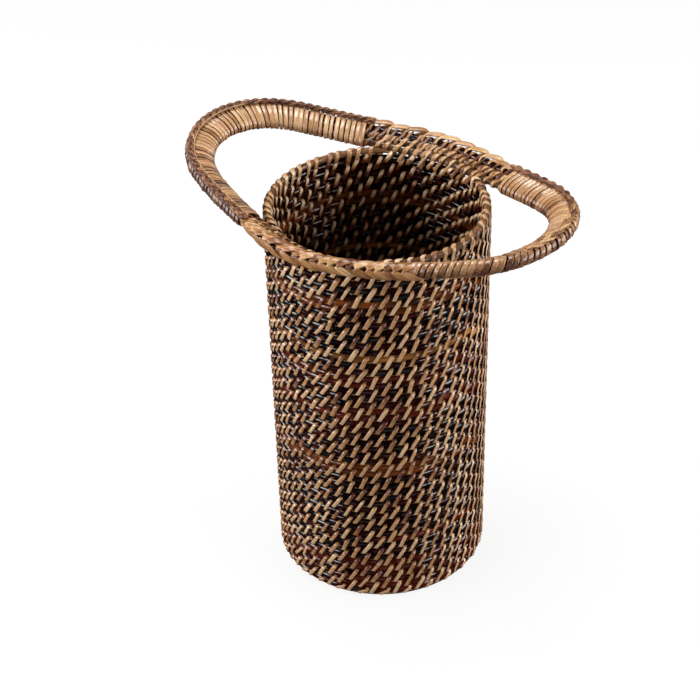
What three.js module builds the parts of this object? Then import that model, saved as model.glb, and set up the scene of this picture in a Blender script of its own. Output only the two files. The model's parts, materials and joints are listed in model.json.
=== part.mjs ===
// Wine bottle basket of coiled rattan reed, with a flared collar that runs out into two ear handles.
// Millimetres, +Z up. The origin is the middle of the underside, and +X points to the right ear.
import * as THREE from 'three';

// Cylinder
const RIM_RADIUS = 57;
const FOOT_RADIUS = 56;
const WALL_THICKNESS = 5;
const COIL_HEIGHT = 4;
const COIL_GROOVE = 1.6;
const FOOT_ROUNDING = 1.2;

// Lengths of reed spliced into the coiled wall, from the foot up, in turns
const REED_TURNS = [5, 3, 1, 10, 2, 7, 2, 3, 2, 2, 1, 6, 2, 5];
const REED_COLOURS = [
  'mahogany', 'black', 'mahogany', 'black', 'chestnut', 'black', 'mahogany',
  'black', 'mahogany', 'black', 'golden', 'black', 'chestnut', 'black',
];

// Coiled base
const BASE_THICKNESS = 5;
const BASE_NAMES = ['base_button', 'base_coil_inner', 'base_coil_middle', 'base_coil_outer'];

// Hoop of three reeds, which forms the collar and the ears. Its inner edge laps over the wall's top.
const COLLAR_LAP = 4.3;
const EAR_CENTRE = 58.9;
const EAR_RADIUS = 34;
const HOOP_BLEND = 2.26;
const HOOP_RISE = 11.4;
const FLARE_AT_WAIST = THREE.MathUtils.degToRad(26);
const FLARE_AT_TIP = THREE.MathUtils.degToRad(30);
const HOOP_REED = 3.9;
const HOOP_REED_NAMES = ['collar_reed_inner', 'collar_reed_middle', 'collar_reed_outer'];

// Flat cane wound round the ears
const CANE_THICKNESS = 0.6;
const CANE_LOOPS = 24;
const CANE_SLIT = 0.75;
const WRAP_FROM_FRONT = 41;
const WRAP_FROM_BACK = 48;

// Plaited border on the hoop's upper outer corner
const BORDER_DIAMETER = 3.2;
const BORDER_LEAN = THREE.MathUtils.degToRad(45);

// Gap between pieces that touch
const CLEARANCE = 0.3;

// Smoothness of the solids
const WALL_SEGMENTS = 32;
const HOOP_STEPS = 72;
const REED_SIDES = 8;
const RIM_STEPS = 16;
const WRAP_CORNERS = 4;
const SEARCH_STEPS = 1440;

const wallTurns = REED_TURNS.reduce((sum, turns) => sum + turns, 0);
const wallTop = (wallTurns + 1) * COIL_HEIGHT;
const rimTop = wallTop + COIL_HEIGHT;
const boreRadius = FOOT_RADIUS - WALL_THICKNESS;
const waistRadius = RIM_RADIUS - COLLAR_LAP;
const hoopPitch = HOOP_REED + CLEARANCE;
const wrapRadius = (HOOP_REED / 2 + CLEARANCE) / Math.cos(Math.PI / (2 * WRAP_CORNERS));
const hoopMargin = wrapRadius + CANE_THICKNESS;
const reedAcross = HOOP_REED_NAMES.map((name, index) => hoopMargin + index * hoopPitch);
const hoopSeat = wallTop + CLEARANCE + HOOP_REED / 2 - reedAcross[0] * Math.sin(FLARE_AT_WAIST);

const finishes = {
  black: { color: 0x1a110d, roughness: 0.32, metalness: 0 },
  mahogany: { color: 0x4b1c12, roughness: 0.34, metalness: 0 },
  chestnut: { color: 0x5d3218, roughness: 0.36, metalness: 0 },
  golden: { color: 0x8a5f2c, roughness: 0.38, metalness: 0 },
  cane: { color: 0xb78857, roughness: 0.42, metalness: 0 },
  plait: { color: 0x8a6346, roughness: 0.5, metalness: 0 },
};

const basket = new THREE.Group();

function addPiece(name, geometry, finish) {
  const piece = new THREE.Mesh(geometry, new THREE.MeshStandardMaterial(finishes[finish]));
  piece.name = name;
  basket.add(piece);
}

// A solid skinned over rings of points; a closed loop joins its last ring to its first
function skin(rings, isLoop) {
  const sides = rings[0].length;
  const positions = rings.flat().flatMap((point) => [point.x, point.y, point.z]);
  const faces = [];
  const spans = isLoop ? rings.length : rings.length - 1;
  for (let span = 0; span < spans; span += 1) {
    const here = span * sides;
    const there = ((span + 1) % rings.length) * sides;
    for (let side = 0; side < sides; side += 1) {
      const next = (side + 1) % sides;
      faces.push(here + side, there + next, here + next);
      faces.push(here + side, there + side, there + next);
    }
  }
  if (!isLoop) {
    const last = (rings.length - 1) * sides;
    for (let side = 1; side < sides - 1; side += 1) {
      faces.push(0, side, side + 1);
      faces.push(last, last + side + 1, last + side);
    }
  }
  const geometry = new THREE.BufferGeometry();
  geometry.setAttribute('position', new THREE.Float32BufferAttribute(positions, 3));
  geometry.setIndex(faces);
  return geometry;
}

function revolve(profile) {
  const points = profile.map(([radius, height]) => new THREE.Vector2(radius, height));
  return new THREE.LatheGeometry(points, WALL_SEGMENTS).rotateX(Math.PI / 2);
}

// Distance from the axis to the crests of the coils
function outerRadius(height) {
  return FOOT_RADIUS + (RIM_RADIUS - FOOT_RADIUS) * (height / rimTop);
}

// Outer side of a coil above a height: from its crest to the groove on top of it
function coilSide(low) {
  const middle = low + COIL_HEIGHT / 2;
  const top = low + COIL_HEIGHT;
  return [[outerRadius(middle), middle], [outerRadius(top) - COIL_GROOVE, top]];
}

// Plan of the hoop's inner edge: a circle at the waist blended into a circle round each ear.
// It is given by how far its tangent lies from the axis, for each direction that it faces.
function tangentDistance(turn) {
  const ear = EAR_CENTRE * Math.abs(Math.cos(turn)) + EAR_RADIUS;
  const nearer = Math.max(waistRadius, ear);
  const waistPart = Math.exp((waistRadius - nearer) / HOOP_BLEND);
  const earPart = Math.exp((ear - nearer) / HOOP_BLEND);
  const slope = -EAR_CENTRE * Math.sign(Math.cos(turn)) * Math.sin(turn);
  return {
    distance: nearer + HOOP_BLEND * Math.log(waistPart + earPart),
    slope: (slope * earPart) / (waistPart + earPart),
  };
}

// A point of the hoop, facing the way turn says, across its flare and above its middle
function hoopPoint(turn, across, above) {
  const { distance, slope } = tangentDistance(turn);
  const facing = new THREE.Vector2(Math.cos(turn), Math.sin(turn));
  const plan = new THREE.Vector2(
    distance * facing.x - slope * facing.y,
    distance * facing.y + slope * facing.x,
  );
  const outward = (plan.x / (EAR_CENTRE + EAR_RADIUS)) ** 2;
  const flare = THREE.MathUtils.lerp(FLARE_AT_WAIST, FLARE_AT_TIP, outward);
  plan.addScaledVector(facing, across * Math.cos(flare) - above * Math.sin(flare));
  const height = hoopSeat + HOOP_RISE * outward;
  return new THREE.Vector3(
    plan.x, plan.y, height + across * Math.sin(flare) + above * Math.cos(flare),
  );
}

// Lengths along the middle reed, so that steps can be laid out evenly
const hoopTurns = [];
const hoopLengths = [];
let travelled = 0;
let lastPoint = hoopPoint(0, reedAcross[1], 0);
for (let step = 0; step <= SEARCH_STEPS; step += 1) {
  const turn = (2 * Math.PI * step) / SEARCH_STEPS;
  const point = hoopPoint(turn, reedAcross[1], 0);
  travelled += point.distanceTo(lastPoint);
  lastPoint = point;
  hoopTurns.push(turn);
  hoopLengths.push(travelled);
}
const hoopLength = travelled;

// The turn at a length along the middle reed, counted from the right ear's tip
function turnAt(length) {
  const whole = Math.floor(length / hoopLength);
  const rest = length - whole * hoopLength;
  const after = Math.max(1, hoopLengths.findIndex((value) => value >= rest));
  const share = (rest - hoopLengths[after - 1]) / (hoopLengths[after] - hoopLengths[after - 1]);
  return 2 * Math.PI * whole + THREE.MathUtils.lerp(hoopTurns[after - 1], hoopTurns[after], share);
}

// The length at which the middle reed's back half passes a place on the X axis
function lengthAt(place) {
  const step = hoopTurns.findIndex((turn) => hoopPoint(turn, reedAcross[1], 0).x <= place);
  return hoopLengths[step];
}

// Coiled base: a button and three annular coils, flat underneath
const baseRadius = boreRadius - CLEARANCE;
const baseWidth = baseRadius / BASE_NAMES.length;
BASE_NAMES.forEach((name, index) => {
  const outer = baseWidth * (index + 1);
  const inner = index === 0 ? 0 : baseWidth * index + CLEARANCE;
  const profile = [[inner, 0], [outer, 0], [outer, BASE_THICKNESS], [inner, BASE_THICKNESS]];
  addPiece(name, revolve(index === 0 ? profile : [...profile, profile[0]]), 'black');
});

// Foot coil, rounded where the wall meets the table
addPiece('foot_coil', revolve([
  [boreRadius, 0],
  [FOOT_RADIUS - FOOT_ROUNDING, 0],
  [FOOT_RADIUS, FOOT_ROUNDING],
  ...coilSide(0),
  [outerRadius(COIL_HEIGHT) - WALL_THICKNESS, COIL_HEIGHT],
  [boreRadius, 0],
]), 'mahogany');

// Wall: one ring for each spliced length of reed, with a swelling outside for each coil
let turnsBelow = 1;
REED_TURNS.forEach((turns, index) => {
  const low = turnsBelow * COIL_HEIGHT;
  const high = (turnsBelow + turns) * COIL_HEIGHT;
  const profile = [
    [outerRadius(low) - WALL_THICKNESS, low],
    [outerRadius(low) - COIL_GROOVE, low],
  ];
  for (let turn = turnsBelow; turn < turnsBelow + turns; turn += 1) {
    profile.push(...coilSide(turn * COIL_HEIGHT));
  }
  profile.push([outerRadius(high) - WALL_THICKNESS, high]);
  turnsBelow += turns;
  const name = `wall_reed_${String(index + 1).padStart(2, '0')}`;
  addPiece(name, revolve([...profile, profile[0]]), REED_COLOURS[index]);
});

// Collar reeds: three closed loops side by side
for (const [index, name] of HOOP_REED_NAMES.entries()) {
  const rings = [];
  for (let step = 0; step < HOOP_STEPS; step += 1) {
    const turn = turnAt((hoopLength * step) / HOOP_STEPS);
    const ring = [];
    for (let side = 0; side < REED_SIDES; side += 1) {
      const angle = (2 * Math.PI * (side + 0.5)) / REED_SIDES;
      const across = reedAcross[index] + (HOOP_REED / 2) * Math.cos(angle);
      ring.push(hoopPoint(turn, across, (HOOP_REED / 2) * Math.sin(angle)));
    }
    rings.push(ring);
  }
  addPiece(name, skin(rings, true), 'black');
}

// Rim coil: an arc on each side, ending where the collar's inner reed leaves the wall's top
const rimReach = RIM_RADIUS + CLEARANCE + HOOP_REED / 2;
const leavingTurn = hoopTurns.find((turn) => {
  const point = hoopPoint(turn, reedAcross[0], 0);
  return Math.hypot(point.x, point.y) < rimReach;
});
const leaving = hoopPoint(leavingTurn, reedAcross[0], 0);
const rimHalfAngle = Math.atan2(leaving.y, leaving.x);
const rimSection = [
  [outerRadius(wallTop) - WALL_THICKNESS, wallTop],
  [outerRadius(wallTop) - COIL_GROOVE, wallTop],
  ...coilSide(wallTop),
  [RIM_RADIUS - WALL_THICKNESS, rimTop],
];
for (const [name, middle] of [['rim_reed_right', 0], ['rim_reed_left', Math.PI]]) {
  const rings = [];
  for (let step = 0; step <= RIM_STEPS; step += 1) {
    const angle = middle + rimHalfAngle * ((2 * step) / RIM_STEPS - 1);
    rings.push(rimSection.map(([radius, height]) => new THREE.Vector3(
      radius * Math.cos(angle), radius * Math.sin(angle), height,
    )));
  }
  addPiece(name, skin(rings, false), 'black');
}

// Ear wraps: one flat cane wound round the three reeds, loop after loop
const wrapOutline = [];
for (const [end, across] of [[0, reedAcross[0]], [1, reedAcross[2]]]) {
  for (let corner = 0; corner < WRAP_CORNERS; corner += 1) {
    const share = (corner + 0.5) / WRAP_CORNERS;
    const angle = Math.PI * (0.5 + share + end);
    wrapOutline.push({ across, angle });
  }
}

function woundCane(name, from, to) {
  const pitch = (to - from) / CANE_LOOPS;
  const halfWidth = (pitch - CANE_SLIT) / 2;
  const rings = [];
  const steps = CANE_LOOPS * wrapOutline.length;
  for (let step = 0; step <= steps; step += 1) {
    const { across, angle } = wrapOutline[step % wrapOutline.length];
    const length = from + halfWidth + ((to - from - 2 * halfWidth) * step) / steps;
    const corner = (along, radius) => hoopPoint(
      turnAt(length + along), across + radius * Math.cos(angle), radius * Math.sin(angle),
    );
    rings.push([
      corner(-halfWidth, wrapRadius),
      corner(halfWidth, wrapRadius),
      corner(halfWidth, wrapRadius + CANE_THICKNESS),
      corner(-halfWidth, wrapRadius + CANE_THICKNESS),
    ]);
  }
  let leastGap = Infinity;
  for (let step = wrapOutline.length; step <= steps; step += 1) {
    const before = rings[step - wrapOutline.length];
    leastGap = Math.min(leastGap, before[1].distanceTo(rings[step][0]));
    leastGap = Math.min(leastGap, before[2].distanceTo(rings[step][3]));
  }
  console.log(`${name}: least gap between loops ${leastGap.toFixed(2)} mm`);
  addPiece(name, skin(rings, false), 'cane');
}
woundCane('ear_wrap_right', -lengthAt(WRAP_FROM_FRONT), lengthAt(WRAP_FROM_BACK));
woundCane('ear_wrap_left', lengthAt(-WRAP_FROM_BACK), hoopLength - lengthAt(-WRAP_FROM_FRONT));

// Plaited border: a rope-like loop outside the outer reed
const borderReach = hoopMargin + CLEARANCE + BORDER_DIAMETER / 2;
const borderRings = [];
for (let step = 0; step < HOOP_STEPS; step += 1) {
  const turn = turnAt((hoopLength * step) / HOOP_STEPS);
  const ring = [];
  for (let side = 0; side < REED_SIDES; side += 1) {
    const angle = (2 * Math.PI * (side + 0.5)) / REED_SIDES;
    ring.push(hoopPoint(
      turn,
      reedAcross[2] + borderReach * Math.cos(BORDER_LEAN) + (BORDER_DIAMETER / 2) * Math.cos(angle),
      borderReach * Math.sin(BORDER_LEAN) + (BORDER_DIAMETER / 2) * Math.sin(angle),
    ));
  }
  borderRings.push(ring);
}
addPiece('plaited_border', skin(borderRings, true), 'plait');

export default basket;
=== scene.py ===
import json
import math

import bpy
import numpy as np
from mathutils import Matrix, Vector


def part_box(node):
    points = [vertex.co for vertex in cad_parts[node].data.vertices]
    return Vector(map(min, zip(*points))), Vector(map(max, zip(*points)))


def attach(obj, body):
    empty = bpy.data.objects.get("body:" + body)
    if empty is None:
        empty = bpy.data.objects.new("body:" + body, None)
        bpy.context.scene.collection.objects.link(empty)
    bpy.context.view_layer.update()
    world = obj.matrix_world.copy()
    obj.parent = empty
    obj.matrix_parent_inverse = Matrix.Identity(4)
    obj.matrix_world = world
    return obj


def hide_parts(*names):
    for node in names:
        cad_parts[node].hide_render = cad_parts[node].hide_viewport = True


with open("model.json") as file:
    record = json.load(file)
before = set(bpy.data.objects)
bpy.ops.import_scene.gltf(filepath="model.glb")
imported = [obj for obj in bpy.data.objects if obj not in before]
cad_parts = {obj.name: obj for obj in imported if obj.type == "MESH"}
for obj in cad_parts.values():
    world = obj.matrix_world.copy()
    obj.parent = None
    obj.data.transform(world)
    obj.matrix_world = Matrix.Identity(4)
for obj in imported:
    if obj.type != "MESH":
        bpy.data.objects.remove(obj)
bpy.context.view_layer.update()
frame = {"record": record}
scene = bpy.context.scene
draw = np.random.default_rng(53)

# Camera
# The photograph looks down at the basket from its front, well round towards its right ear, from
# about a metre away and through a short telephoto lens.
VIEW_TURN = math.radians(34.84)
VIEW_DISTANCE = 0.8238
VIEW_HEIGHT = 0.7069
VIEW_DIP, VIEW_PAN, VIEW_TILT = 0.6169, -0.0184, 0.0260
VIEW_LENS = 99.6

facing = Vector((
    math.sin(VIEW_PAN) * math.cos(VIEW_DIP),
    math.cos(VIEW_PAN) * math.cos(VIEW_DIP),
    -math.sin(VIEW_DIP),
))
level = Vector((math.cos(VIEW_PAN), -math.sin(VIEW_PAN), 0))
upright = level.cross(facing)
right = level * math.cos(VIEW_TILT) - upright * math.sin(VIEW_TILT)
above = level * math.sin(VIEW_TILT) + upright * math.cos(VIEW_TILT)
aim = Matrix((right, above, -facing)).transposed().to_4x4()
stand = Matrix.Translation((0, -VIEW_DISTANCE, VIEW_HEIGHT))
lens = bpy.data.cameras.new("camera")
lens.lens = VIEW_LENS
camera = bpy.data.objects.new("camera", lens)
camera.matrix_world = Matrix.Rotation(VIEW_TURN, 4, "Z") @ stand @ aim
scene.collection.objects.link(camera)
scene.camera = camera

# Coiled base
# A spiral of the same round rattan reed as the wall, sewn flat with split cane that takes in two
# turns at a time. It is one reed in the real basket, laid here in four parts, the button and coils.
TURN = 2 * math.pi
REED = 0.0041
CANE_WIDTH = 0.0021
CANE_DEPTH = 0.0006
SECTION_SIDES = 10

BUTTON_TURNS = 0.35
BASE_START = -2.0  # radians of the spiral
BASE_LAP = 0.0006
BASE_TAPER = 0.95
BASE_STEPS_LEAST, BASE_STEPS_MORE = 60, 300
BASE_PITCH = 0.01258
BASE_BITE = 0.0001
BASE_SEWN_PAST = 1.6 * math.pi

STITCH_JITTER, STITCH_LEAN, STITCH_SWELL = 0.022, 0.035, 0.09
SAME_PLACE = 1e-6
# A stitch's outer side is paler towards its lower end, its inner side paler towards its upper end
STITCH_END_TONE = 0.50
# Painted shade where a stitch sinks between the reeds and where it dives behind the next ones
SUNK_SHADE = 3.0


class Strands:
    """Strands of reed or cane for one piece, marked with their tone and the places on them."""

    def __init__(self):
        self.points, self.faces, self.caps = [], [], []
        self.marks = {"tone": [], "along": [], "across": []}
        self.count = 0

    def lay(self, path, outward, section, tone=0.5, closed=False, widen=1.0, deepen=1.0):
        """Runs a section along a path, its upper side facing outward.

        widen and deepen stretch the section, either all along or point by point.
        """
        path, outward = np.asarray(path), np.asarray(outward)
        ahead = np.roll(path, -1, 0) - np.roll(path, 1, 0)
        if not closed:
            ahead[0], ahead[-1] = path[1] - path[0], path[-1] - path[-2]
        ahead /= np.linalg.norm(ahead, axis=1, keepdims=True)
        outward = outward - ahead * (outward * ahead).sum(1, keepdims=True)
        outward /= np.linalg.norm(outward, axis=1, keepdims=True)
        sideways = np.cross(ahead, outward)
        count, sides = len(path), len(section)
        widths = np.broadcast_to(widen, count)[:, None, None] * section[None, :, :1]
        depths = np.broadcast_to(deepen, count)[:, None, None] * section[None, :, 1:]
        rings = path[:, None] + sideways[:, None] * widths + outward[:, None] * depths
        self.points.append(rings.reshape(-1, 3))

        first = self.count + np.arange(count if closed else count - 1)[:, None] * sides
        second = self.count + (np.arange(len(first))[:, None] + 1) % count * sides
        side, after = np.arange(sides), (np.arange(sides) + 1) % sides
        corners = first + side, first + after, second + after, second + side
        self.faces.append(np.stack(corners, -1).reshape(-1, 4))
        if not closed:
            self.caps.append((self.count + side[::-1]).tolist())
            self.caps.append((self.count + (count - 1) * sides + side).tolist())
        travelled = np.r_[0, np.cumsum(np.linalg.norm(np.diff(path, axis=0), axis=1))]
        across = section[:, 0] / np.abs(section[:, 0]).max()
        self.marks["tone"].append(np.repeat(np.broadcast_to(tone, count), sides))
        self.marks["along"].append(np.repeat(travelled, sides))
        self.marks["across"].append(np.tile(across, count))
        self.count += count * sides

    def piece(self, name, finish, slot, *nodes):
        """Makes the mesh object, which rides on the basket and stands for the CAD nodes named."""
        mesh = bpy.data.meshes.new(name)
        faces = np.concatenate(self.faces).tolist() + self.caps
        mesh.from_pydata(np.concatenate(self.points), [], faces)
        for mark, values in self.marks.items():
            attribute = mesh.attributes.new(mark, "FLOAT", "POINT")
            attribute.data.foreach_set("value", np.concatenate(values))
        mesh.shade_smooth()
        mesh.materials.append(finish)
        made = bpy.data.objects.new(name, mesh)
        scene.collection.objects.link(made)
        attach(made, "root")
        if nodes:
            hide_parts(*nodes)


def round_section(width, depth):
    angle = -TURN * np.arange(SECTION_SIDES) / SECTION_SIDES
    return np.stack([width / 2 * np.cos(angle), depth / 2 * np.sin(angle)], 1)


def flat_section(width, depth):
    """Split cane: flat underneath, with a low crown and soft edges."""
    side_shares = np.array([-1, -0.90, -0.5, 0.5, 0.90, 1])
    lift_shares = np.array([0.3, 0.82, 1, 1, 0.82, 0.3])
    return np.stack([side_shares * width / 2, lift_shares * depth], 1)


def rising(value, start, run):
    """How far a value has come from start over the run, from none to all."""
    return np.clip((value - start) / run, 0, 1)


def drift(length, spacing, size):
    """A slow random wander with a new value every spacing steps."""
    knots = draw.normal(0, size, int(length / spacing) + 3)
    return np.interp(np.arange(length) / spacing, np.arange(len(knots)), knots)


def stitch_way(outside, inside, squeeze, dip=1.0, over_top=0.5, ends=1.0):
    """One stitch's way round two reeds: height, angle, drift, width and reach of each point.

    It drifts by the outside share where it climbs and the inside share where it comes down, and
    makes up the rest where it crosses between the reeds, squeezed to a share of its width, with
    the given share of that rest over the top. It sinks between the two reeds to the dip's share of
    its reach, and to the ends' share where it dives behind the next reeds.
    """
    crossing = (1 - outside - inside) * over_top
    bend = (1 + ends) / 2
    climb = [(-0.5, -70, ends), (-0.5, -45, bend), (-0.5, -15, 1), (0, 0, dip),
             (0.5, 15, 1), (0.5, 45, bend), (0.5, 70, ends)]
    way = []
    for height, angle, sunk in climb:
        climbed = 0.5 + height / 2 + math.sin(math.radians(angle)) / 4
        way.append((height, angle, outside * climbed, 1, sunk))
    way.append((0.5, 90, outside + crossing / 2, squeeze, 1))
    for height, angle, sunk in climb:
        dropped = 0.5 + height / 2 + math.sin(math.radians(angle)) / 4
        way.append((-height, 180 + angle, outside + crossing + inside * dropped, 1, sunk))
    way.append((-0.5, 270, (1 + outside + inside + crossing) / 2, squeeze, 1))
    return np.array(way)


def sew(strands, place, centres, reach, starts, pitch, section, tones, way, inside_painted_light=(0, 0)):
    """Runs one cane round a pair of reeds, stitch after stitch.

    place gives a point from a station, a distance out and a height. centres gives the two reeds'
    centres there as (out, height, out, height), and where both are the same place, the stitch
    goes round one reed. The inside painted light is the change of tone at the upper and at the
    lower end of the stitches' inner side, a painted highlight where it lightens and painted shade
    where it darkens.
    """
    height, angle, along, squeezed, sunk = way.T
    angle = np.radians(angle)
    jitter = draw.normal(0, STITCH_JITTER, len(starts))
    lean = draw.normal(0, STITCH_LEAN, len(starts))
    station = (starts + jitter * pitch)[:, None] + (along * pitch)[None]
    station = (station + lean[:, None] * height[None] * pitch).ravel()
    height, angle = np.tile(height, len(starts)), np.tile(angle, len(starts))
    reached = reach * np.tile(sunk, len(starts))

    out_low, up_low, out_high, up_high = centres(station)
    rise_out, rise_up = out_high - out_low, up_high - up_low
    span = np.hypot(rise_out, rise_up)
    apart = span > SAME_PLACE
    rise_out, rise_up = (
        np.where(apart, rise / np.maximum(span, SAME_PLACE), straight_up)
        for rise, straight_up in ((rise_out, 0), (rise_up, 1))
    )
    face_out = np.cos(angle) * rise_up + np.sin(angle) * rise_out
    face_up = -np.cos(angle) * rise_out + np.sin(angle) * rise_up
    middle_out = (out_low + out_high) / 2 + rise_out * span * height
    middle_up = (up_low + up_high) / 2 + rise_up * span * height
    path = place(station, middle_out + reached * face_out, middle_up + reached * face_up)
    beyond = place(station, middle_out + 2 * reach * face_out, middle_up + 2 * reach * face_up)

    widen = (draw.normal(1, STITCH_SWELL, len(starts))[:, None] * squeezed[None]).ravel()
    # Each stitch's tone: its outer side paler towards the lower end, its inner side towards the
    # upper end
    tone_by_place = np.repeat(tones, len(way)) - STITCH_END_TONE * height * np.cos(angle)
    # Painted shade where the stitch sinks between the reeds and where it dives behind the next ones
    tone_by_place -= SUNK_SHADE * (1 - np.tile(sunk, len(starts))) ** 2
    upper, lower = (
        np.repeat(np.broadcast_to(change, len(starts)), len(way)) for change in inside_painted_light
    )
    # Painted highlight and painted shade on the inner side, by the changes given for its upper and
    # lower ends
    inner_side = np.clip(-2 * np.cos(angle), 0, 1)
    tone_by_place += inner_side * (upper * (0.5 + height) + lower * (0.5 - height))
    strands.lay(path, beyond - path, section, tone_by_place, widen=widen)


class Shade:
    """A socket among a material's nodes, so that its maths reads as plain sums."""

    def __init__(self, tree, socket):
        self.tree, self.socket = tree, socket

    def add(self, kind, settings, output=0, **values):
        """Adds a node, sets it up, and fills its sockets with values or links.

        A socket goes by its name, or by its number where it starts with an underscore.
        """
        node = self.tree.nodes.new(kind)
        for setting, value in settings.items():
            if setting == "stops":
                while len(node.color_ramp.elements) < len(value):
                    node.color_ramp.elements.new(0.5)
                for element, (position, colour) in zip(node.color_ramp.elements, value):
                    element.position, element.color = position, (*colour, 1)
            else:
                setattr(node, setting, value)
        for name, value in values.items():
            key = int(name[1:]) if name[0] == "_" else name.replace("_", " ")
            if isinstance(value, Shade):
                self.tree.links.new(value.socket, node.inputs[key])
            else:
                node.inputs[key].default_value = value
        return Shade(self.tree, node.outputs[output])

    def maths(self, operation, first, second):
        return self.add("ShaderNodeMath", {"operation": operation}, _0=first, _1=second)

    def __add__(self, other):
        return self.maths("ADD", self, other)

    def __sub__(self, other):
        return self.maths("SUBTRACT", self, other)

    def __rsub__(self, other):
        return self.maths("SUBTRACT", other, self)

    def __mul__(self, other):
        return self.maths("MULTIPLY", self, other)

    __radd__, __rmul__ = __add__, __mul__

    def marks(self):
        """The tone of a strand and the places along and across it."""
        return [self.add("ShaderNodeAttribute", {"attribute_name": name}, "Fac")
                for name in ("tone", "along", "across")]

    def noise(self, x, y, z, detail):
        place = self.add("ShaderNodeCombineXYZ", {}, X=x, Y=y, Z=z)
        return self.add("ShaderNodeTexNoise", {}, Vector=place, Scale=1.0, Detail=detail)

    def ramp(self, factor, *stops):
        return self.add("ShaderNodeValToRGB", {"stops": stops}, Fac=factor)

    def bump(self, height, strength, depth):
        return self.add("ShaderNodeBump", {}, Strength=strength, Distance=depth, Height=height)

    def mix(self, factor, first, second, blend="MIX"):
        settings = {"data_type": "RGBA", "blend_type": blend}
        return self.add("ShaderNodeMix", settings, 2, _0=factor, _6=first, _7=second)

    def stained(self, first, second):
        return self.mix(1.0, first, second, "MULTIPLY")


def grey(level):
    return (level,) * 3


def finish(name, **fixed):
    """A new material: returns it, its surface shader and a Shade to build its nodes with."""
    material = bpy.data.materials.new(name)
    material.use_nodes = True
    surface = material.node_tree.nodes["Principled BSDF"]
    for socket, value in fixed.items():
        surface.inputs[socket.replace("_", " ")].default_value = value
    return material, surface, Shade(material.node_tree, None)


def feed(node, **links):
    for socket, shade in links.items():
        shade.tree.links.new(shade.socket, node.inputs[socket.replace("_", " ")])


# Grain to a metre of strand, and grain over its width. In the finishes below, a strand's tone times
# a large number takes each strand to another part of the noise.
REED_STAINS, REED_FIBRES, REED_WEAR = 28.0, (90.0, 9.0), (260.0, 0.9)
CANE_FIBRES, CANE_PATCHES, CANE_TINTS = (55.0, 6.5), (160.0, 0.6), 6.0


def reed_finish(name, dark, light, patch):
    """Lacquered round reed with two stains in long patches; patch adds to the light one's."""
    material, surface, nodes = finish(
        name, Coat_IOR=1.75, Coat_Roughness=0.05, Specular_IOR_Level=0.0
    )
    tone, along, across = nodes.marks()
    lengths = nodes.noise(along * REED_STAINS, tone * 19.0, 0.0, 3.0)
    fibres = nodes.noise(along * REED_FIBRES[0], across * REED_FIBRES[1], tone * 31.0, 3.0)
    worn_off = nodes.noise(along * REED_WEAR[0], across * REED_WEAR[1], tone * 57.0, 2.0)
    stain = lengths + fibres * 0.35 - (0.67 - patch)
    stain = nodes.ramp(stain, (0.38, dark), (0.72, light))
    streaks = nodes.ramp(fibres, (0.35, grey(0.62)), (0.70, grey(1.25)))
    lacquer = nodes.ramp(worn_off, (0.46, grey(0.03)), (0.62, grey(1)))
    feed(
        surface, Base_Color=nodes.stained(stain, streaks), Roughness=fibres * 0.20 + 0.60,
        Coat_Weight=lacquer, Normal=nodes.bump(fibres, strength=0.35, depth=0.0002),
    )
    return material


def cane_finish(name, pale, middle, deep, varnish, rough=0.30, sheen=0.13):
    """Split cane, varnished: each strand has its own tone and fine fibres; its edges get painted
    shade.
    """
    material, surface, nodes = finish(
        name, Coat_Weight=varnish, Coat_IOR=1.65, Coat_Roughness=sheen, Specular_IOR_Level=0.2
    )
    tone, along, across = nodes.marks()
    fibres = nodes.noise(along * CANE_FIBRES[0], across * CANE_FIBRES[1], tone * 83.0, 5.0)
    patches = nodes.noise(along * CANE_PATCHES[0], across * CANE_PATCHES[1], tone * 47.0, 2.0)
    tints = nodes.noise(tone * 211.0, along * CANE_TINTS, 0.0, 1.0)
    depth = tone * 0.72 + patches * 0.62 + fibres * 0.30 - 0.32
    colour = nodes.ramp(depth, (0.06, deep), (0.40, middle), (0.86, pale))
    tint = nodes.ramp(tints, (0.38, (1.03, 0.95, 0.99)), (0.62, (0.99, 1.01, 0.89)))
    # Painted shade darkening each strand towards its edges
    painted_edge_shade = nodes.ramp(across * across, (0.62, grey(1.0)), (0.97, (0.34, 0.25, 0.19)))
    streaks = nodes.ramp(fibres, (0.38, (0.55, 0.47, 0.41)), (0.55, grey(1.10)))
    for layer in (tint, painted_edge_shade, streaks):
        colour = nodes.stained(colour, layer)
    feed(
        surface, Base_Color=colour, Roughness=fibres * 0.30 + rough,
        Normal=nodes.bump(fibres, strength=0.5, depth=0.00018),
    )
    return material


black_reed = reed_finish(
    "black_reed", (0.0048, 0.0013, 0.0010), (0.058, 0.0062, 0.0023), patch=0.40
)
wall_cane = cane_finish(
    "wall_cane", (0.87, 0.61, 0.375), (0.58, 0.305, 0.125), (0.14, 0.029, 0.007),
    varnish=1.0, sheen=0.21,
)

reed_section, cane_section = round_section(REED, REED), flat_section(CANE_WIDTH, CANE_DEPTH)
base_low, base_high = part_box("base_coil_outer")
base_radius = base_high.x - REED / 2 + BASE_LAP
base_height = (base_low.z + base_high.z) / 2 + CANE_DEPTH / 4
last_turn = (base_radius / REED - BUTTON_TURNS) * TURN


def spiral_place(station, out, up):
    """A point of the base, from the angle turned along its spiral and a distance from the axis."""
    return np.stack([out * np.cos(station), out * np.sin(station), up + 0 * station], 1)


def tapered(station):
    """How far the reed has tapered, from none to all over the one turn that closes the disc."""
    return rising(station, last_turn, TURN)


def spiral_radius(station):
    turned = np.minimum(station, last_turn) / TURN
    return REED * (BUTTON_TURNS + turned + tapered(station) / 2)


def base_pair(station):
    """Centres of the spiral at a place on it and of the turn inside that."""
    up = base_height + 0 * station
    return spiral_radius(station), up, spiral_radius(station - TURN), up


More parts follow.
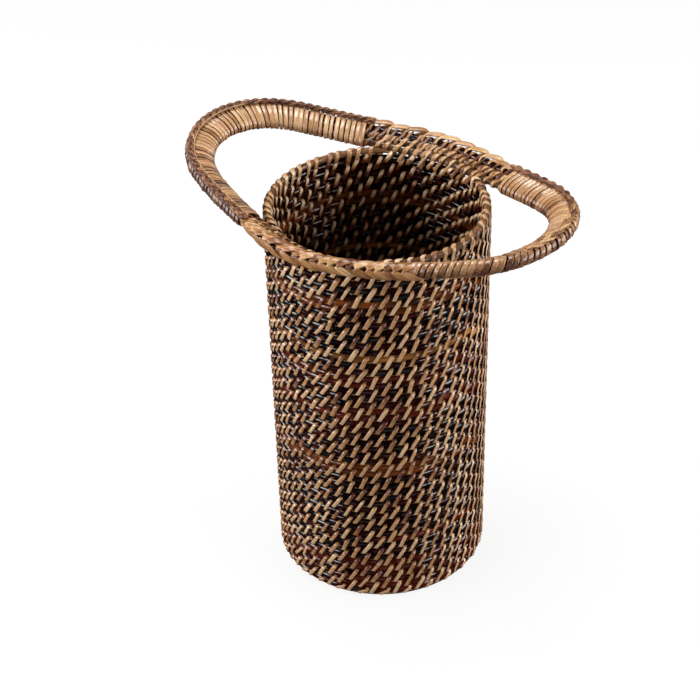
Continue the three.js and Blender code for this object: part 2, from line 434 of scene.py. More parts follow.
base_nodes = ["base_button", "base_coil_inner", "base_coil_middle", "base_coil_outer"]
for node, inner_share, outer_share in zip(base_nodes, (0, 0.25, 0.5, 0.75), (0.25, 0.5, 0.75, 1)):
    start = BASE_START if node == base_nodes[0] else last_turn * inner_share
    end = last_turn * outer_share + (TURN if node == base_nodes[-1] else 0)
    turns = np.linspace(start, end, BASE_STEPS_LEAST + int(BASE_STEPS_MORE * outer_share))
    path = spiral_place(turns, spiral_radius(turns), base_height)
    spiral = Strands()
    spiral.lay(path, np.tile((0, 0, 1.0), (len(path), 1)), reed_section,
               widen=1 - BASE_TAPER * tapered(turns))
    spiral.piece(node.replace("base", "spiral"), black_reed, "black", node)

base_sewing = Strands()
base_stitch = stitch_way(outside=0.20, inside=0.20, squeeze=0.5)
turn = TURN
while turn < last_turn + BASE_SEWN_PAST:
    pitch = BASE_PITCH / spiral_radius(turn)
    sew(base_sewing, spiral_place, base_pair, REED / 2 - BASE_BITE, np.array([turn]), pitch,
        cane_section, draw.random(1), base_stitch)
    turn += pitch
base_sewing.piece("base_stitches", wall_cane, "cane")

# Wall reeds
# One reed climbs the wall as a helix, tapered at its start and end so that foot and rim lie level.
# It is spliced from lengths stained near black, red-brown, chestnut and gold, which show as bands.
COIL = 0.004
WALL_DEPTH = 0.005
TURN_STEPS = 120
GAP_SHARE = 0.975
REED_END = 0.49
THINNEST, SHALLOWEST = 0.05, 0.3
# Steps from one value of a wander to the next, and its size
WANDER_OUT, WANDER_UP = (40, 0.00010), (55, 0.00009)

rim_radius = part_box("wall_reed_14")[1].x
foot_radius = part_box("foot_coil")[1].x
wall_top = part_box("wall_reed_14")[1].z
coils = round(wall_top / COIL)
stains = {
    "black": black_reed,
    "mahogany": reed_finish(
        "mahogany_reed", (0.010, 0.0020, 0.0014), (0.125, 0.014, 0.005), patch=0.52
    ),
    "chestnut": reed_finish(
        "chestnut_reed", (0.016, 0.0040, 0.0020), (0.240, 0.055, 0.010), patch=0.52
    ),
    "golden": reed_finish(
        "golden_reed", (0.060, 0.012, 0.004), (0.400, 0.165, 0.035), patch=0.54
    ),
}
slots = {part["node"]: part["material_slot"] for part in frame["record"]["subparts"]}


def wall_middle(height):
    """Distance from the axis to the middle of the wall."""
    return foot_radius + (rim_radius - foot_radius) * height / wall_top - WALL_DEPTH / 2


def coil_height(turn):
    """Middle and thickness of the coiled reed, by turns from the foot."""
    low = np.clip(COIL * (turn - 0.5), 0, wall_top)
    high = np.clip(COIL * (turn + 0.5), 0, wall_top)
    return (low + high) / 2, high - low


def wall_place(station, out, up):
    """A point of the wall; the station is in turns of the helix."""
    angle = TURN * station
    return np.stack([out * np.cos(angle), out * np.sin(angle), up], 1)


reed_nodes = ["foot_coil"] + [f"wall_reed_{number:02d}" for number in range(1, 15)]
wander_steps = int(coils * TURN_STEPS) + 2 * TURN_STEPS
wander_out = drift(wander_steps, *WANDER_OUT)
wander_up = drift(wander_steps, *WANDER_UP)
for node in reed_nodes:
    low, high = (corner.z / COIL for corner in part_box(node))
    if node == reed_nodes[0]:
        low = -REED_END
    if node == reed_nodes[-1]:
        high = coils + REED_END
    turns = np.linspace(low, high, int((high - low) * TURN_STEPS) + 2)
    middle, thickness = coil_height(turns)
    wander = np.clip(((turns + 0.5) * TURN_STEPS).astype(int), 0, wander_steps - 1)
    path = wall_place(turns, wall_middle(middle) + wander_out[wander], middle + wander_up[wander])
    width = np.maximum(thickness / REED, THINNEST)
    reed = Strands()
    reed.lay(path, wall_place(turns, 1 + 0 * turns, 0 * turns),
             round_section(REED * GAP_SHARE, REED), draw.random(), widen=width,
             deepen=np.maximum(width, SHALLOWEST))
    name = "foot_coiled" if node == "foot_coil" else node.replace("wall_reed", "coiled_reed")
    reed.piece(name, stains[slots[node]], slots[node], node)

# Wall stitches
# Flat split cane sews each coil to the one below it. Every stitch takes in two coils and leans to
# the right as it climbs, and each row sits halfway between the stitches of the row below.
STITCHES_PER_TURN = 28.466
SEWN_FROM, SEWN_OVER = 0.4, 0.4
WALL_BITE = 0.00005
TABLE_GAP = 0.0001
STITCH_TONE, STITCH_TONE_DRIFT, STITCH_TONE_SPREAD = 0.50, (9, 0.12), 0.23
# Painted light on the stitches' inner side, at the upper and the lower end: near the rim a painted
# highlight above and painted shade below, deeper down painted shade at both ends
INSIDE_PAINTED_LIGHT_AT_RIM, INSIDE_PAINTED_SHADE_DEEP = (0.45, -1.0), (-0.15, -1.1)
DEEP_TURNS = 22
SEWN_BANDS = ("wall_stitches_lower", "wall_stitches_middle", "wall_stitches_upper")

wall_stitch = stitch_way(
    outside=0.37, inside=0.31, squeeze=0.80, dip=0.85, over_top=0.15, ends=0.68
)
lowest = REED / 2 + CANE_DEPTH + TABLE_GAP


def wall_pair(station):
    """Centres of the coil at a turn of the helix and of the coil below it."""
    above_middle, above_thick = coil_height(station)
    below_middle, below_thick = coil_height(station - 1)
    low = np.where(below_thick > COIL / 4, below_middle, above_middle)
    low = np.maximum(low, lowest)
    high = np.maximum(above_middle, low)
    return wall_middle(low), low, wall_middle(high), high


stitch_total = int((coils + SEWN_OVER) * STITCHES_PER_TURN)
stitch_numbers = np.arange(int(SEWN_FROM * STITCHES_PER_TURN), stitch_total)
stitch_tones = STITCH_TONE + drift(stitch_total, *STITCH_TONE_DRIFT)
stitch_tones = np.clip(stitch_tones + draw.normal(0, STITCH_TONE_SPREAD, stitch_total), 0, 1)
for name, numbers in zip(SEWN_BANDS, np.array_split(stitch_numbers, len(SEWN_BANDS))):
    # The painted shade on the inner side deepens over DEEP_TURNS below the rim
    depth = rising(stitch_total - numbers, 0, DEEP_TURNS * STITCHES_PER_TURN)
    inside_painted_light = [
        rim + (deep - rim) * depth for rim, deep in zip(INSIDE_PAINTED_LIGHT_AT_RIM, INSIDE_PAINTED_SHADE_DEEP)
    ]
    sewing = Strands()
    sew(sewing, wall_place, wall_pair, REED / 2 - WALL_BITE, numbers / STITCHES_PER_TURN,
        1 / STITCHES_PER_TURN, cane_section, stitch_tones[numbers], wall_stitch, inside_painted_light)
    sewing.piece(name, wall_cane, "cane")

# Rim
# The wall's last coil shows only at the two sides, between the places where the hoop leaves the
# wall. It is overcast with cane, set twice as close as on the wall and in full view over the edge.
RIM_REED = 0.0035
RIM_RISE = 0.0012
RIM_RUN_ON = 0.10
RIM_TIP, RIM_TAPER = 1.02, 6
RIM_CANE = 0.0024
RIM_CLOSENESS = 2
RIM_JITTER = 0.08
RIM_TONE, RIM_TONE_SPREAD = 0.46, 0.24

rim_low, rim_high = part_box("rim_reed_right")
rim_height = rim_high.z - RIM_REED / 2 - CANE_DEPTH
rim_reach = math.atan2(rim_high.y, rim_low.x)
pale_reed = reed_finish("pale_reed", (0.060, 0.026, 0.012), (0.310, 0.155, 0.070), patch=0.54)
rim_stitch = stitch_way(outside=0.32, inside=0.34, squeeze=0.95, dip=0.9, over_top=0.88)


def rim_middle(station):
    """Height of the rim's reed, which climbs a little towards the hoop at its ends."""
    from_side = np.abs((station * 2 + 0.5) % 1 - 0.5) * np.pi / rim_reach
    return rim_height + RIM_RISE * np.clip(from_side, 0, 1) ** 3


def rim_pair(station):
    """Centres of the wall's top coil and of the rim's reed."""
    low = wall_top - COIL / 2 + 0 * station
    return wall_middle(low), low, wall_middle(rim_height + 0 * station), rim_middle(station)


for side, middle_turn in (("right", 0.0), ("left", 0.5)):
    reach_turns = (rim_reach + RIM_RUN_ON) / TURN
    turns = middle_turn + np.linspace(-reach_turns, reach_turns, TURN_STEPS)
    ends = np.minimum(1, (RIM_TIP - np.abs(np.linspace(-1, 1, TURN_STEPS))) * RIM_TAPER)
    rim_up = rim_middle(turns) - (1 - ends) * COIL / 2
    rim = Strands()
    rim.lay(wall_place(turns, wall_middle(rim_height) + 0 * turns, rim_up),
            wall_place(turns, 1 + 0 * turns, 0 * turns),
            round_section(RIM_REED, RIM_REED), draw.random(), widen=ends, deepen=ends)
    rim.piece(f"rim_coil_{side}", pale_reed, "black", f"rim_reed_{side}")

    per_turn = RIM_CLOSENESS * STITCHES_PER_TURN
    first = math.ceil((coils + middle_turn - rim_reach / TURN) * per_turn)
    last = (coils + middle_turn + rim_reach / TURN) * per_turn
    starts = np.arange(first, last) / per_turn
    starts = starts + draw.normal(0, RIM_JITTER / per_turn, len(starts))
    tones = np.clip(draw.normal(RIM_TONE, RIM_TONE_SPREAD, len(starts)), 0, 1)
    overcast = Strands()
    sew(overcast, wall_place, rim_pair, RIM_REED / 2, starts, 1 / per_turn,
        flat_section(RIM_CANE, CANE_DEPTH), tones, rim_stitch)
    overcast.piece(f"rim_stitches_{side}", wall_cane, "cane")

# Collar reeds
# Three reeds lie side by side on the rim at the front and the back, flared outwards, and run on
# past the wall as the two ears. Seen from above, a waist circle blends into a circle at each ear.
COLLAR_LAP = 0.0043
EAR_CENTRE = 0.0589
EAR_RADIUS = 0.034
HOOP_BLEND = 0.00226
HOOP_RISE = 0.0114
FLARE_AT_WAIST, FLARE_AT_TIP = math.radians(26), math.radians(30)
HOOP_REED = 0.0039
HOOP_GAP = 0.0003
HOOP_STEPS = 480
MEASURING_STEPS = 4000
WRAP_DEPTH = 0.0006
WRAP_CORNER = math.pi / 8

worn_reed = reed_finish(
    "worn_reed", (0.020, 0.0085, 0.0050), (0.170, 0.085, 0.042), patch=0.50
)
waist_radius = rim_radius - COLLAR_LAP
wrap_reach = (HOOP_REED / 2 + HOOP_GAP) / math.cos(WRAP_CORNER)
hoop_across = [wrap_reach + WRAP_DEPTH + index * (HOOP_REED + HOOP_GAP) for index in range(3)]
hoop_seat = wall_top + HOOP_GAP + HOOP_REED / 2 - hoop_across[0] * math.sin(FLARE_AT_WAIST)


def hoop_point(turn, across, above_it):
    """A point of the hoop that faces the way turn says, across its flare and above its middle."""
    ear = EAR_CENTRE * np.abs(np.cos(turn)) + EAR_RADIUS
    nearer = np.maximum(waist_radius, ear)
    waist_part = np.exp((waist_radius - nearer) / HOOP_BLEND)
    ear_part = np.exp((ear - nearer) / HOOP_BLEND)
    both = waist_part + ear_part
    distance = nearer + HOOP_BLEND * np.log(both)
    slope = -EAR_CENTRE * np.sign(np.cos(turn)) * np.sin(turn) * ear_part / both
    x = distance * np.cos(turn) - slope * np.sin(turn)
    y = distance * np.sin(turn) + slope * np.cos(turn)
    outward = (x / (EAR_CENTRE + EAR_RADIUS)) ** 2
    flare = FLARE_AT_WAIST + (FLARE_AT_TIP - FLARE_AT_WAIST) * outward
    out = across * np.cos(flare) - above_it * np.sin(flare)
    up = hoop_seat + HOOP_RISE * outward + across * np.sin(flare) + above_it * np.cos(flare)
    return np.stack([x + out * np.cos(turn), y + out * np.sin(turn), up], 1)


fine_turns = np.linspace(0, TURN, MEASURING_STEPS + 1)
fine_path = hoop_point(fine_turns, hoop_across[1], 0)
fine_lengths = np.r_[0, np.cumsum(np.linalg.norm(np.diff(fine_path, axis=0), axis=1))]
hoop_length = fine_lengths[-1]


def hoop_place(station, across, above_it):
    """A point of the hoop by the length along its middle reed, counted from the right ear's tip."""
    turn = np.interp(station % hoop_length, fine_lengths, fine_turns)
    return hoop_point(turn, across, above_it)


def hoop_outward(station, lean=0.0):
    """The way up from the hoop, or leant outwards from that."""
    across, above_it = np.sin(lean) * COIL + 0 * station, np.cos(lean) * COIL + 0 * station
    return hoop_place(station, across, above_it) - hoop_place(station, 0 * station, 0 * station)


hoop_stations = np.arange(HOOP_STEPS) * hoop_length / HOOP_STEPS
for name, across in zip(("inner", "middle", "outer"), hoop_across):
    hoop_reed = Strands()
    hoop_reed.lay(hoop_place(hoop_stations, across, 0 * hoop_stations),
                  hoop_outward(hoop_stations), round_section(HOOP_REED, HOOP_REED),
                  draw.random(), closed=True)
    hoop_reed.piece(f"hoop_reed_{name}", black_reed if name == "outer" else worn_reed, "black",
                    f"collar_reed_{name}")

# Collar lashing
# Cane stitches sew the three reeds to each other and to the wall's top at the front and the back.
# Along the edge wider canes cross over and under into chevrons, each nested in the one before.
LASHING_PITCH = 0.0056
LASHING_WIDTH = 0.0021
LASHING_LEAD = 1.2
LASHING_TONE, LASHING_TONE_SPREAD = 0.50, 0.28
LASHING_JITTER = 0.12
LASHED_PAST_WALL = 0.0012
COIL_FROM_HOOP = (-0.0035, -0.0030)
# Painted shade where the back's outermost stitches cross the outer reed, under the edge canes
BACK_EDGE_PAINTED_SHADE = (-0.60, 0.0)
# Where the ears' winding starts, right and left of the middle
FRONT_RIGHT, FRONT_LEFT, BACK_RIGHT, BACK_LEFT = 0.0515, 0.0395, 0.0478, 0.0418

EDGE_PITCH = 0.0090
EDGE_LEAD = 0.3
EDGE_STEP = 0.4
EDGE_JITTER, EDGE_SWELL = 0.06, 0.05
EDGE_FIRST, EDGE_GROWTH = 0.5, 0.3
# Tones of the edge canes' arms; the under arms are darker, a painted shade
EDGE_TONE_AND_SHADE, EDGE_TONE_SPREAD = {"over": 0.50, "under": 0.33}, 0.25
EDGE_DEPTH = 1.2 * CANE_DEPTH
EDGE_WAYS = {
    # each point: station in pitches, across and above the outer reed in reeds, facing in degrees,
    # width in mm
    "front": {
        "over": [
            (1.25, -0.49, 0.05, -60, 2.2), (1.12, 0.08, 0.62, 0, 2.8), (0.95, 0.44, 0.70, 20, 3.2),
            (0.70, 0.88, 0.72, 36, 3.6), (0.40, 1.22, 0.60, 55, 3.6), (0.15, 1.38, 0.32, 75, 3.1),
            (-0.03, 1.36, 0.08, 90, 2.2),
        ],
        "under": [
            (0.02, 1.36, 0.0, 90, 2.2), (0.14, 1.36, -0.16, 98, 3.1), (0.36, 1.24, -0.40, 108, 3.7),
            (0.60, 1.04, -0.64, 122, 3.8), (0.85, 0.68, -0.84, 142, 3.6),
            (1.02, 0.25, -0.74, 170, 3.0), (1.18, -0.49, -0.08, 250, 2.2),
        ],
    },
    "back": {
        "over": [
            (1.30, -0.49, 0.05, -60, 1.3), (1.20, 0.08, 0.60, -25, 1.5),
            (1.10, 0.60, 0.54, -10, 1.8), (0.98, 0.84, 0.48, 0, 2.4), (0.75, 0.94, 0.52, 5, 3.0),
            (0.45, 1.10, 0.48, 8, 3.2), (0.18, 1.20, 0.36, 12, 2.8), (0.00, 1.05, 0.10, 40, 1.9),
            (-0.06, 0.70, -0.30, 80, 1.4),
        ],
        "under": [
            (0.02, 1.20, 0.0, 60, 1.4), (0.14, 1.26, -0.16, 80, 1.8), (0.36, 1.14, -0.40, 100, 2.4),
            (0.60, 0.98, -0.60, 120, 2.6), (0.85, 0.64, -0.78, 142, 2.4),
            (1.02, 0.25, -0.70, 170, 2.0), (1.18, -0.49, -0.08, 250, 1.5),
        ],
    },
}
# At the front a second, darker cane lies in each gap: place in the pitch, reach, change of tone
EDGE_CANES = {"front": ((0.5, 0.93, -0.22), (0.0, 1.0, 0.0)), "back": ((0.0, 1.0, 0.0),)}

hoop_cane = cane_finish(
    "collar_cane", (0.72, 0.48, 0.26), (0.46, 0.230, 0.088), (0.13, 0.040, 0.014),
    rough=0.32, varnish=0.30,
)
collar_stitch = stitch_way(outside=0.06, inside=0.88, squeeze=0.8, dip=0.55)
lashing_section = flat_section(LASHING_WIDTH, CANE_DEPTH)
edge_section = flat_section(0.001, EDGE_DEPTH)  # a millimetre, for the ways' widths to widen


def smooth(shares, values):
    """Values at fractions of their index, along a curve through all of them."""
    index = np.minimum(shares.astype(int), len(values) - 2)
    share = shares - index
    padded = np.r_[2 * values[0] - values[1], values, 2 * values[-1] - values[-2]]
    before, start, end, after = (padded[index + step] for step in range(4))
    return 0.5 * (
        2 * start + (end - before) * share
        + (2 * before - 5 * start + 4 * end - after) * share ** 2
        + (3 * start - before - 3 * end + after) * share ** 3
    )


def station_at(place_x):
    """The length along the hoop, over the back, to a place right of the middle."""
    back_half = slice(MEASURING_STEPS // 2 + 1)
    return np.interp(-place_x, -fine_path[back_half, 0], fine_lengths[back_half])


def rim_and_hoop(station):
    """Centres of the wall's top coil and the hoop's inner reed, in the hoop's own directions."""
    coil_across, coil_above = COIL_FROM_HOOP
    level = 0 * station
    return hoop_across[0] + coil_across + level, coil_above + level, hoop_across[0] + level, level


def reed_pair(first):
    """Centres of a reed of the hoop and the next one outwards."""
    return lambda station: (hoop_across[first] + 0 * station, 0 * station,
                            hoop_across[first + 1] + 0 * station, 0 * station)


front_start = hoop_length - station_at(-FRONT_LEFT)
front_end = hoop_length - station_at(FRONT_RIGHT)
back_start, back_end = station_at(BACK_RIGHT), station_at(-BACK_LEFT)
lashed_rows = (
    (rim_and_hoop, LASHING_PITCH), (reed_pair(0), LASHING_PITCH), (reed_pair(1), EDGE_PITCH / 2)
)
for side, begin, end in (("front", front_start, front_end), ("back", back_start, back_end)):
    lashing = Strands()
    for row, (centres, pitch) in enumerate(lashed_rows):
        starts = np.arange(begin - LASHING_LEAD * pitch, end, pitch) + 0.5 * row * pitch
        if centres is rim_and_hoop:
            from_axis = np.hypot(*hoop_place(starts, hoop_across[0], 0)[:, :2].T)
            starts = starts[from_axis < rim_radius + LASHED_PAST_WALL]
        tones = np.clip(draw.normal(LASHING_TONE, LASHING_TONE_SPREAD, len(starts)), 0, 1)
        starts = starts + draw.normal(0, LASHING_JITTER * pitch, len(starts))
        # Only the back's outermost row gets painted shade under the edge canes
        edge_painted_shade = BACK_EDGE_PAINTED_SHADE if side == "back" and row == 2 else (0, 0)
        sew(lashing, hoop_place, centres, HOOP_REED / 2, starts, pitch, lashing_section,
            tones, collar_stitch, edge_painted_shade)

    for nested in np.arange(begin - EDGE_LEAD * EDGE_PITCH, end, EDGE_PITCH):
        for place_in_pitch, reach, tone in EDGE_CANES[side]:
            shift, swell = draw.normal(place_in_pitch, EDGE_JITTER), draw.normal(reach, EDGE_SWELL)
            swell *= min(1, EDGE_FIRST + EDGE_GROWTH * (nested - begin) / EDGE_PITCH)
            for way, way_points in EDGE_WAYS[side].items():
                fine = np.arange(0, len(way_points) - 1, EDGE_STEP)
                along, out, up, turned, wide = (
                    smooth(fine, column) for column in np.array(way_points).T
                )
                station = nested + EDGE_PITCH * (along + shift)
                swollen = 1 + (swell - 1) * np.clip(out, 0, 1)
                path = hoop_place(station, hoop_across[2] + HOOP_REED * out * swollen,
                                  HOOP_REED * up * swollen)
                cane_tone = np.clip(draw.normal(EDGE_TONE_AND_SHADE[way] + tone, EDGE_TONE_SPREAD), 0, 1)
                lashing.lay(path, hoop_outward(station, np.radians(turned)), edge_section,
                            cane_tone, widen=wide)
    lashing.piece(f"collar_lashing_{side}", hoop_cane, "cane")

# Ear wraps
# Flat cane is wound closely round all three reeds from one side of the wall to the other. A narrow
# slit is left between the turns. Painted shade darkens the outer and inner edges and the near side,
# and painted light lies across the right ear's top and on the swell over the plait.
WRAP_PITCH = {"right": 0.0030, "left": 0.0028}
WIDTH_SHARE = {"right": 0.87, "left": 0.89}
WIDTH_SPREAD, WIDTH_LEAST, WIDTH_MOST = 0.07, 0.8, 1.1
LOOSE_SHARE, LOOSE_WIDTH = 0.04, 0.7
TURN_JITTER, LIFT_JITTER = 0.05, 0.00012
WRAP_ROLL = {"right": 7, "left": 8}
WRAP_CROWN = 0.00075
WRAP_BULGE = 0.0008
EDGE_BULGE = 0.0012
WRAP_TONE = {"right": 0.56, "left": 0.70}
WRAP_TONE_SPREAD = {"right": 0.15, "left": 0.19}
# Painted light across the top: lighter towards the outer edge, darker towards the inner
TOP_PAINTED_LIGHT = {"right": 0.50, "left": 0.0}
# Painted shade round the outer edge and the inner edge
OUTER_PAINTED_SHADE = {"right": -0.42, "left": -0.70}
INNER_PAINTED_SHADE = -0.35
# The near runs, which start so far past the right and the left ear's tip and come in over so much
NEAR_RIGHT, NEAR_LEFT = (0.006, 0.020), (0.012, 0.03)
# Painted shade on the near runs
NEAR_PAINTED_SHADE = {"right": -0.24, "left": -0.34}
NEAR_SLANT = 1.1
NEAR_WIDTH_SHARE = 0.94
# Where the right ear's winding passes over the plait
COVER_START, COVER_RUN = 0.015, 0.030
COVER_FACING = math.radians(125)
COVER_BULGE = 0.0016
# Painted highlight on the winding where it swells over the plait
COVER_PAINTED_HIGHLIGHT = 0.35
# Shares of a turn's advance: on the underside, the outer edge, the top and the inner edge
ADVANCE_SHARES = (0.05, 0.68, 0.22, 0.05)
CORNER_STEPS, RUN_STEPS = 6, 7

ear_cane = cane_finish(
    "ear_cane", (0.76, 0.51, 0.30), (0.46, 0.245, 0.112), (0.12, 0.038, 0.015),
    rough=0.26, varnish=0.65, sheen=0.20,
)
corner = (np.arange(CORNER_STEPS) + 0.5) / CORNER_STEPS
run = (np.arange(RUN_STEPS) + 0.5) / RUN_STEPS
advanced = np.r_[0, np.cumsum(ADVANCE_SHARES)]
# One turn: shares of the way across, facing in degrees, shares of the advance
wrap_turn = np.concatenate([
    np.stack([run - 0.5, 0 * run, advanced[0] + ADVANCE_SHARES[0] * run], 1),
    np.stack([0.5 + 0 * corner, 180 * corner, advanced[1] + ADVANCE_SHARES[1] * corner], 1),
    np.stack([0.5 - run, 180 + 0 * run, advanced[2] + ADVANCE_SHARES[2] * run], 1),
    np.stack([-0.5 + 0 * corner, 180 + 180 * corner, advanced[3] + ADVANCE_SHARES[3] * corner], 1),
])
# Half of the cane's section: shares of its half width and of its crown
wrap_half = np.array([(1, 0), (0.98, 0.45), (0.93, 0.75), (0.78, 0.92), (0.40, 0.98)])
wrap_section = np.concatenate([wrap_half * (-1, 1), [(0, 1)], wrap_half[::-1]])
wrap_middle = (hoop_across[0] + hoop_across[2]) / 2
wrap_span = hoop_across[2] - hoop_across[0]
wrap_runs = {"right": (front_end - hoop_length, back_start), "left": (back_end, front_start)}

for side, (begin, end) in wrap_runs.items():
    count = int((end - begin) / WRAP_PITCH[side])
    pitch = (end - begin) / count
    way = wrap_turn if side == "right" else (wrap_turn * (1, 1, -1) + (0, 0, 1))[::-1]
    share, angle = np.tile(way[:, 0], count), np.tile(np.radians(way[:, 1]), count)
    at_edge, on_top = np.isclose(share, 0.5), np.isclose(angle, np.pi)
    outer, inner = np.clip(np.sin(angle), 0, 1), np.clip(-np.sin(angle), 0, 1)
    upper = np.clip(-np.cos(angle), 0, 1)

    turns = np.arange(count)[:, None] + draw.normal(0, TURN_JITTER, (count, 1)) + way[None, :, 2]
    station = begin + pitch * turns.ravel()
    near = rising(-station, *NEAR_RIGHT)
    over_edge = np.where(at_edge, angle / np.pi, (share + 0.5) * on_top)
    station += pitch * NEAR_SLANT * near * (over_edge - 0.5)

    centre = wrap_middle + wrap_span * share
    lift = wrap_reach + np.repeat(np.abs(draw.normal(0, LIFT_JITTER, count)), len(way))
    lift += WRAP_BULGE * (1 - 4 * share ** 2) + EDGE_BULGE * outer
    covering = rising(-station, COVER_START, COVER_RUN)
    covering *= np.clip(np.cos(angle - COVER_FACING), 0, 1) ** 2 * at_edge
    lift += COVER_BULGE * covering
    face_across, face_above = np.sin(angle), -np.cos(angle)
    path = hoop_place(station, centre + lift * face_across, lift * face_above)
    roll = np.repeat(draw.normal(0, math.radians(WRAP_ROLL[side]), count), len(way))
    beyond = hoop_place(
        station + lift * np.tan(roll), centre + 2 * lift * face_across, 2 * lift * face_above
    )

    tones = np.clip(draw.normal(WRAP_TONE[side], WRAP_TONE_SPREAD[side], count), 0, 1)
    # Painted highlight where the winding swells over the plait
    tones = np.repeat(tones, len(way)) + COVER_PAINTED_HIGHLIGHT * covering
    # Painted shade on the outer and inner edges, and painted light across the top
    tones += OUTER_PAINTED_SHADE[side] * outer + INNER_PAINTED_SHADE * inner + TOP_PAINTED_LIGHT[side] * share * upper
    # Painted shade on the near runs
    tones += NEAR_PAINTED_SHADE[side] * (near + rising(station - hoop_length / 2, *NEAR_LEFT))

    widths = np.clip(draw.normal(1, WIDTH_SPREAD, count), WIDTH_LEAST, WIDTH_MOST)
    widths *= np.where(draw.random(count) < LOOSE_SHARE, LOOSE_WIDTH, 1)
    outermost = centre + lift * face_across
    spread = hoop_place(station + COIL, outermost, 0) - hoop_place(station - COIL, outermost, 0)
    widths = np.repeat(widths, len(way)) * np.linalg.norm(spread, axis=1) / (2 * COIL)
    widths *= 1 + (NEAR_WIDTH_SHARE - 1) * near
    winding = Strands()
    winding.lay(path, beyond - path, wrap_section * (WIDTH_SHARE[side] / 2, WRAP_CROWN), tones,
                widen=widths * pitch)
    winding.piece(f"wound_cane_{side}", ear_cane, "cane", f"ear_wrap_{side}")

# Plaited border
# A plait of three canes runs along the ears' upper outer edge, with a single cane beside it from
# the left ear's tip on. At the right ear's front the winding passes over it and only swells there.
PLAIT_LENGTH = {"right": 0.0200, "left": 0.0132}
PLAIT_SWING = 0.00100
PLAIT_LIFT = 0.00065
PLAIT_CANE = 0.0021
PLAIT_DEPTH = 0.0015
PLAIT_STEP = 0.0006
PLAIT_LAP = 0.004
PLAIT_COVERED = 0.7
PLAIT_SUNK = 0.00035
PLAIT_TONES = (0.50, 0.02, 0.24)
PLAIT_TONE_DRIFT = (15, 0.20)
PLAIT_TONE = {"right": 0.0, "left": -0.12}
PLAIT_WORN, WORN_TO, WORN_OVER = 0.45, 0.024, 0.020
BORDER_DIAMETER = 0.0032
BACK_LEAN, LEFT_FRONT_LEAN = math.radians(56), math.radians(40)
LEAN_OVER = 0.04
LINE_CANE = 0.0008
LINE_TONE, LINE_TONE_DRIFT = 0.85, (15, 0.15)
LINE_BEFORE_TIP = 0.020

plait_cane = cane_finish(
    "plait_cane", (0.66, 0.41, 0.20), (0.26, 0.110, 0.048), (0.07, 0.022, 0.011),
    rough=0.36, varnish=0.25,
)
plait_section = round_section(PLAIT_CANE, PLAIT_DEPTH)
line_section = round_section(LINE_CANE, LINE_CANE)
border_reach = wrap_reach + WRAP_DEPTH + HOOP_GAP + BORDER_DIAMETER / 2 - PLAIT_SUNK
plait_runs = {
    "right": (-PLAIT_COVERED * COVER_RUN, back_start + PLAIT_LAP),
    "left": (back_end - PLAIT_LAP, front_start + PLAIT_LAP),
}
plait = Strands()
for side, (begin, end) in plait_runs.items():
    station = np.arange(begin, end, PLAIT_STEP)
    tone_by_place = PLAIT_WORN * rising(-station, -WORN_TO, WORN_OVER)
    past_tip = station - hoop_length / 2
    lean = BACK_LEAN + (LEFT_FRONT_LEAN - BACK_LEAN) * rising(past_tip, 0, LEAN_OVER)
    border_across = hoop_across[2] + border_reach * np.cos(lean)
    border_above = border_reach * np.sin(lean)
    facing_out = hoop_outward(station, math.pi / 2 - lean)
    for strand in range(3):
        phase = TURN * (station / PLAIT_LENGTH[side] + strand / 3)
        swing, lift = PLAIT_SWING * np.sin(phase), PLAIT_LIFT * np.sin(2 * phase)
        across = border_across + swing * np.sin(lean) + lift * np.cos(lean)
        above_it = border_above - swing * np.cos(lean) + lift * np.sin(lean)
        tones = PLAIT_TONES[strand] + PLAIT_TONE[side] + tone_by_place
        tones = np.clip(tones + drift(len(station), *PLAIT_TONE_DRIFT), 0, 1)
        plait.lay(hoop_place(station, across, above_it), facing_out, plait_section, tones)
    if side == "left":
        beside = PLAIT_SWING + PLAIT_CANE / 2
        line = hoop_place(station, border_across - beside * np.sin(lean),
                          border_above + beside * np.cos(lean))
        lined = past_tip > -LINE_BEFORE_TIP
        tones = np.clip(LINE_TONE + drift(lined.sum(), *LINE_TONE_DRIFT), 0, 1)
        plait.lay(line[lined], facing_out[lined], line_section, tones)
plait.piece("plaited_edge", plait_cane, "plait", "plaited_border")

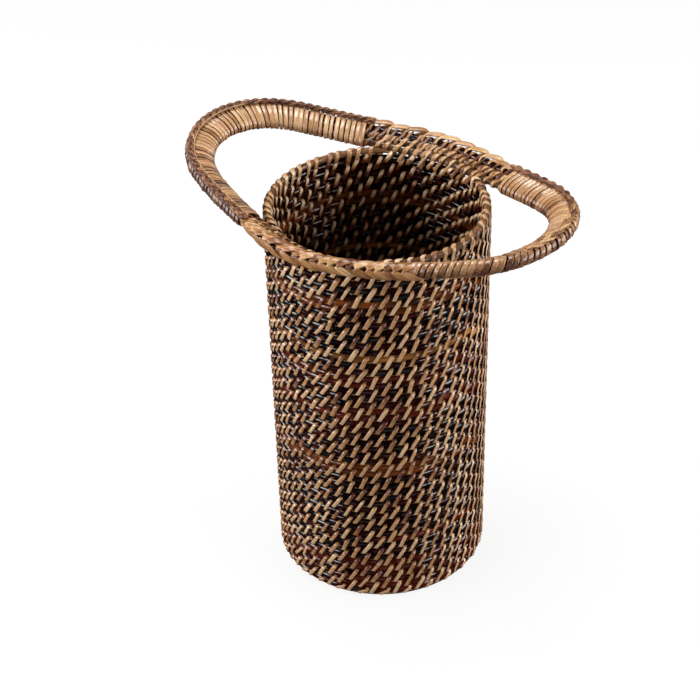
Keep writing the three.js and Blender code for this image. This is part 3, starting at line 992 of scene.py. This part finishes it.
# Floor and studio light
# A white table in a white room. Two broad soft lamps lay the sheen on both flanks of the lacquered
# reed and leave its front dark. One overhead lights the ears, and a faint low one fills the front.
FLOOR_SIZE = 6.0
FLOOR_SEEN, FLOOR_BOUNCE, FLOOR_GLOW = 0.9, 0.1, 0.86
ROOM_LIGHT = 0.02
LAMPS = {
    # name: turn from the camera's side, distance, height, height aimed at, width, tall, watts
    "left_lamp": (-82, 1.0, 0.46, 0.46, 1.9, 0.70, 19.0),
    "right_lamp": (80, 1.0, 0.46, 0.46, 1.9, 0.70, 18.0),
    "top_lamp": (-150, 0.25, 1.30, 0.0, 0.62, 0.62, 11.0),
    "front_lamp": (4, 1.2, 0.22, 0.2, 2.2, 0.44, 0.8),
}


def seen_as_background(nodes):
    """One where a ray comes straight from the camera or through something clear, otherwise none."""
    rays = [nodes.add("ShaderNodeLightPath", {}, f"Is {kind} Ray")
            for kind in ("Camera", "Transmission")]
    return nodes.maths("MAXIMUM", *rays)


floor_mesh = bpy.data.meshes.new("table_top")
half = FLOOR_SIZE / 2
floor_corners = [(-half, -half, 0), (half, -half, 0), (half, half, 0), (-half, half, 0)]
floor_mesh.from_pydata(floor_corners, [], [(0, 1, 2, 3)])
table_top = bpy.data.objects.new("table_top", floor_mesh)
scene.collection.objects.link(table_top)
table_white, surface, nodes = finish("table_white", Roughness=0.9, Specular_IOR_Level=0.0)
seen = seen_as_background(nodes)
feed(surface, Base_Color=nodes.mix(seen, (*grey(FLOOR_BOUNCE), 1), (*grey(FLOOR_SEEN), 1)))
lit = Shade(nodes.tree, surface.outputs["BSDF"])
glow = nodes.add("ShaderNodeEmission", {}, Color=(1, 1, 1, 1), Strength=1.0)
blended = nodes.add("ShaderNodeMixShader", {}, _0=seen * FLOOR_GLOW, _1=lit, _2=glow)
feed(nodes.tree.nodes["Material Output"], Surface=blended)
floor_mesh.materials.append(table_white)

for name, (turn, distance, height, aimed, width, tall, watts) in LAMPS.items():
    lamp = bpy.data.lights.new(name, "AREA")
    lamp.shape, lamp.size, lamp.size_y, lamp.energy = "ELLIPSE", width, tall, watts
    hung = bpy.data.objects.new(name, lamp)
    angle = VIEW_TURN + math.radians(turn)
    hung.location = (distance * math.sin(angle), -distance * math.cos(angle), height)
    towards = Vector((0, 0, aimed)) - hung.location
    hung.rotation_euler = towards.to_track_quat("-Z", "Y").to_euler()
    scene.collection.objects.link(hung)

world = bpy.data.worlds.new("studio")
world.use_nodes = True
scene.world = world
room = world.node_tree.nodes["Background"]
white = seen_as_background(Shade(world.node_tree, None))
feed(room, Strength=white * (1 - ROOM_LIGHT) + ROOM_LIGHT)
room.inputs["Color"].default_value = (1, 1, 1, 1)
scene.view_settings.view_transform = "Standard"
